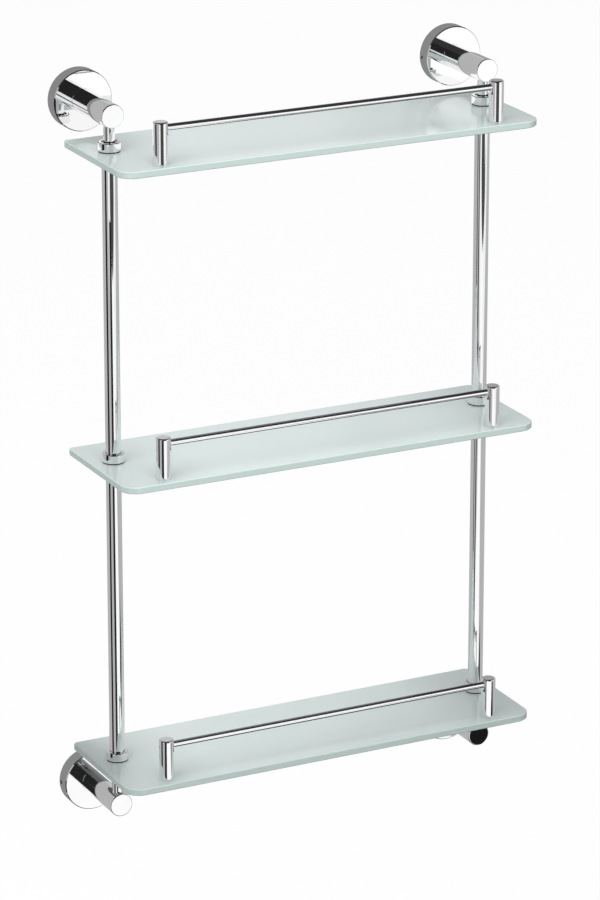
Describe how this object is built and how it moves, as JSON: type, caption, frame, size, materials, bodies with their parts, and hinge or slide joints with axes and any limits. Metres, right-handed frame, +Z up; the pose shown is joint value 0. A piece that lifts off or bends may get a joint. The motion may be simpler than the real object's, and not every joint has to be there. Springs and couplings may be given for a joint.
{
  "type": "glass wall shelf",
  "caption": "Wall-mounted bathroom shelf unit: frosted glass tiers with rounded corners and guard rails, carried on chrome tube columns between round wall brackets.",
  "frame": {"origin": "on the wall plane, midway between the four wall brackets", "axes": "+X to the right along the shelf as seen from the room, +Y into the wall, +Z up"},
  "size_m": [0.414, 0.139, 0.681],
  "materials": {
    "frosted_glass": "satin frosted faces, polished green edges",
    "chrome": "mirror polished",
    "black_rubber": "matt",
    "zinc_steel": "zinc plated",
    "clear_plastic": "clear, smooth"
  },
  "bodies": {
    "root": {"arm_lower_left": "chrome", "arm_lower_right": "chrome", "arm_screws": "zinc_steel", "arm_upper_left": "chrome", "arm_upper_right": "chrome", "collar_bottom_left": "chrome", "collar_bottom_right": "chrome", "collar_middle_left": "chrome", "collar_middle_right": "chrome", "collar_top_left": "chrome", "collar_top_right": "chrome", "glass_shelf_bottom": "frosted_glass", "glass_shelf_middle": "frosted_glass", "glass_shelf_top": "frosted_glass", "grub_screws": "zinc_steel", "guard_rail_bottom": "chrome", "guard_rail_middle": "chrome", "guard_rail_top": "chrome", "lower_stub_left": "chrome", "lower_stub_right": "chrome", "lower_tube_left": "chrome", "lower_tube_right": "chrome", "lower_washers": "black_rubber", "post_bushes": "clear_plastic", "post_screws": "zinc_steel", "rail_post_bottom_left": "chrome", "rail_post_bottom_right": "chrome", "rail_post_middle_left": "chrome", "rail_post_middle_right": "chrome", "rail_post_top_left": "chrome", "rail_post_top_right": "chrome", "rose_lower_left": "chrome", "rose_lower_right": "chrome", "rose_upper_left": "chrome", "rose_upper_right": "chrome", "tie_rod_left": "zinc_steel", "tie_rod_right": "zinc_steel", "upper_stub_left": "chrome", "upper_stub_right": "chrome", "upper_tube_left": "chrome", "upper_tube_right": "chrome", "upper_washers": "black_rubber", "wall_plate_lower_left": "zinc_steel", "wall_plate_lower_right": "zinc_steel", "wall_plate_upper_left": "zinc_steel", "wall_plate_upper_right": "zinc_steel"}
  },
  "joints": []
}
